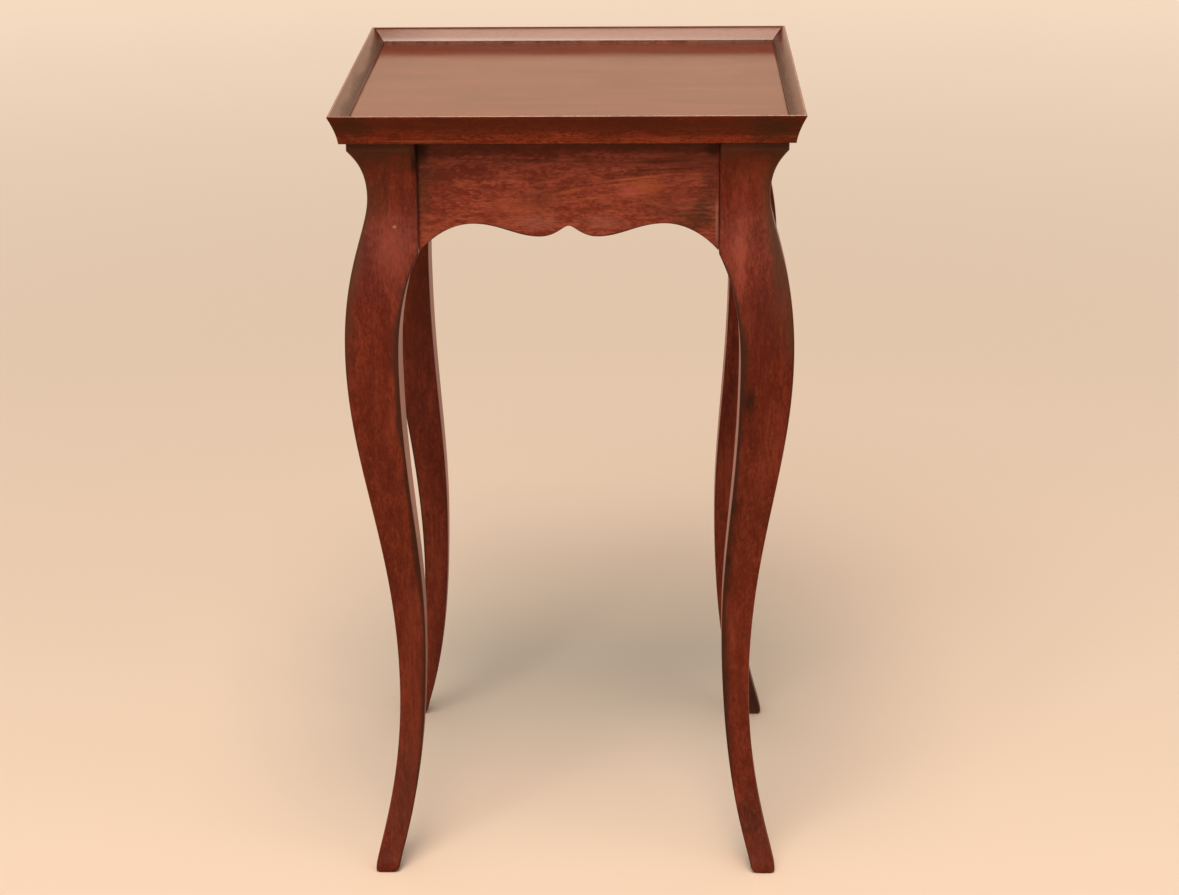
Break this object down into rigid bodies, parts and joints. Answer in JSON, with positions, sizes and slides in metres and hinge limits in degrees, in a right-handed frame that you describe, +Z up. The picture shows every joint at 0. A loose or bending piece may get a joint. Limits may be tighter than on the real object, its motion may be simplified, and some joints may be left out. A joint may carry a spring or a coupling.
{
  "type": "accent table",
  "caption": "Small square accent table with a mitred tray top, scalloped aprons tenoned into cabriole legs, and screwed corner blocks.",
  "frame": {"origin": "on the floor, under the middle of the table", "axes": "+Z up, front apron towards -Y, +X to the right of someone facing the front"},
  "size_m": [0.356, 0.356, 0.635],
  "materials": {
    "mahogany": "satin red-brown mahogany stain under clear lacquer",
    "rim_finish": "satin red-brown mahogany stain under clear lacquer, worn lighter on the lip",
    "tray_finish": "polished red-brown mahogany stain under clear lacquer",
    "block_wood": "bare sawn hardwood",
    "screw_steel": "dull zinc plate"
  },
  "bodies": {
    "root": {"tray_panel": "tray_finish", "rim_back": "rim_finish", "rim_left": "rim_finish", "rim_front": "rim_finish", "rim_right": "rim_finish", "apron_back": "mahogany", "apron_left": "mahogany", "apron_front": "mahogany", "apron_right": "mahogany", "leg_back_right": "mahogany", "leg_back_left": "mahogany", "leg_front_left": "mahogany", "leg_front_right": "mahogany", "corner_block_back_right": "block_wood", "corner_block_back_left": "block_wood", "corner_block_front_left": "block_wood", "corner_block_front_right": "block_wood", "top_screw_back_right": "screw_steel", "top_screw_back_left": "screw_steel", "top_screw_front_left": "screw_steel", "top_screw_front_right": "screw_steel", "block_screw_back_right_1": "screw_steel", "block_screw_back_right_2": "screw_steel", "block_screw_back_left_1": "screw_steel", "block_screw_back_left_2": "screw_steel", "block_screw_front_left_1": "screw_steel", "block_screw_front_left_2": "screw_steel", "block_screw_front_right_1": "screw_steel", "block_screw_front_right_2": "screw_steel"}
  },
  "joints": []
}
